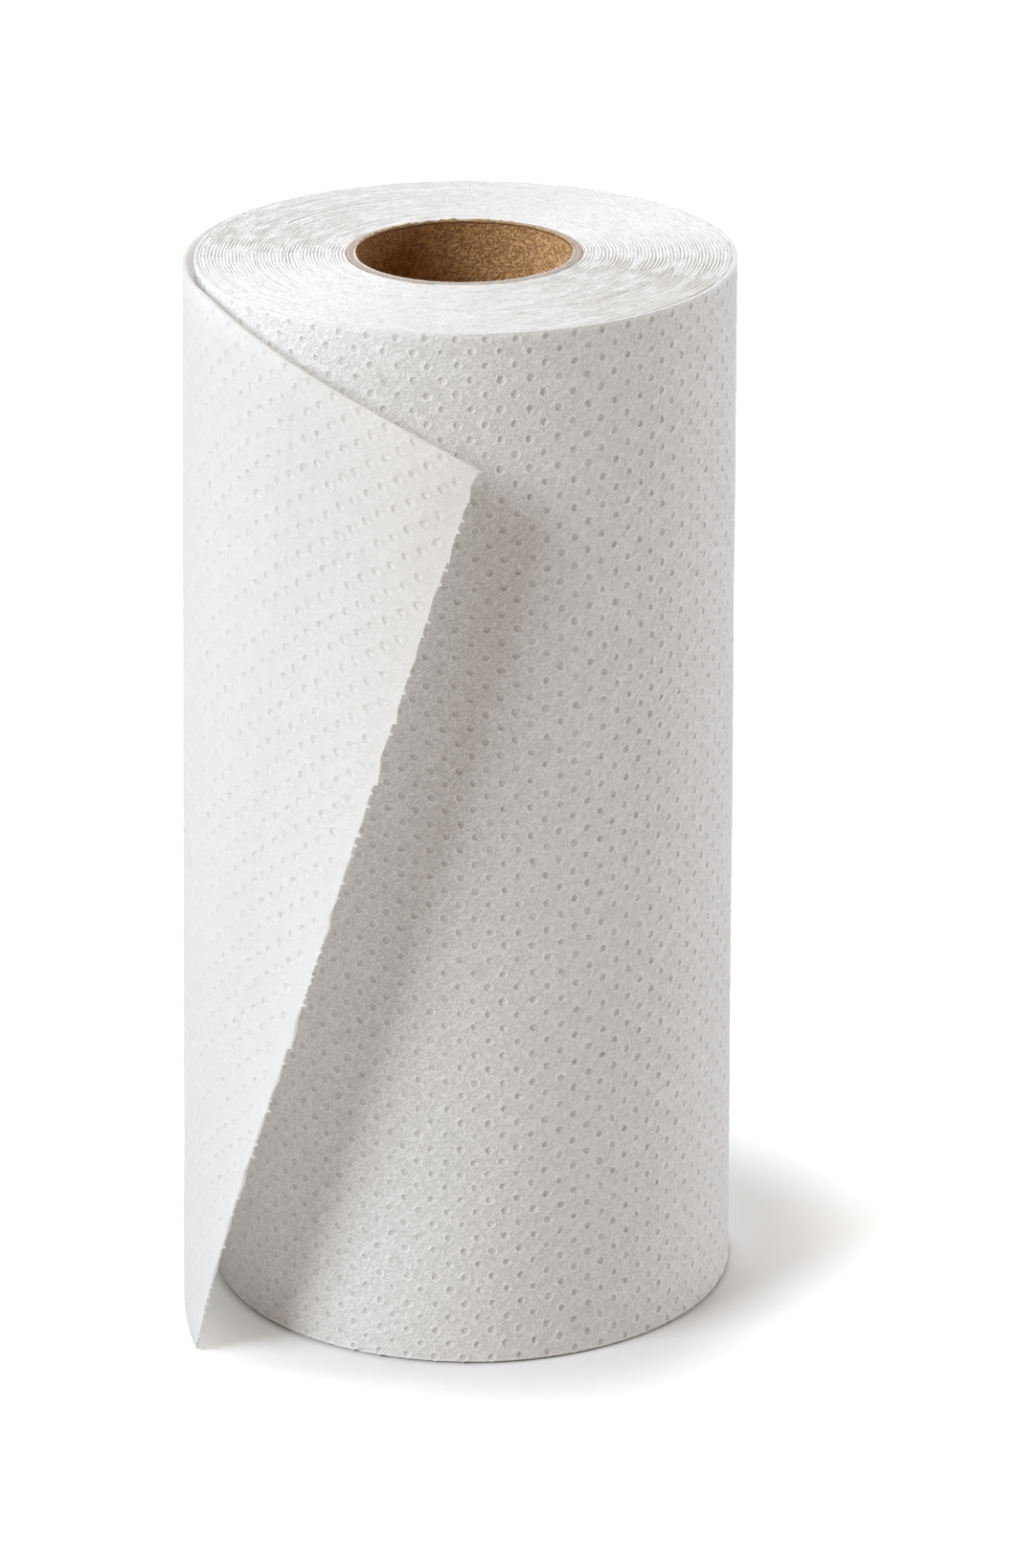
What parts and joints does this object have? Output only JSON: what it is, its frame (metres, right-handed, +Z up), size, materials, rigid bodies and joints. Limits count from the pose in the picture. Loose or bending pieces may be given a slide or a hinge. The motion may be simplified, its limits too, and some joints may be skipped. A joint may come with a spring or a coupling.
{
  "type": "paper towel roll",
  "caption": "Embossed paper towel roll on a kraft tube, standing on its end, with a loose torn sheet curling round its front.",
  "frame": {"origin": "on the roll's axis, on the face that it stands on", "axes": "+Z up along the roll's axis; -Y is the side that the loose sheet reaches round to, and -X the side that it hangs on"},
  "size_m": [0.1202, 0.1313, 0.23],
  "materials": {
    "kraft": "raw spiral-wound kraft board",
    "tissue": "soft embossed tissue"
  },
  "bodies": {
    "root": {"core_tube": "kraft", "towel_web": "tissue"}
  },
  "joints": []
}
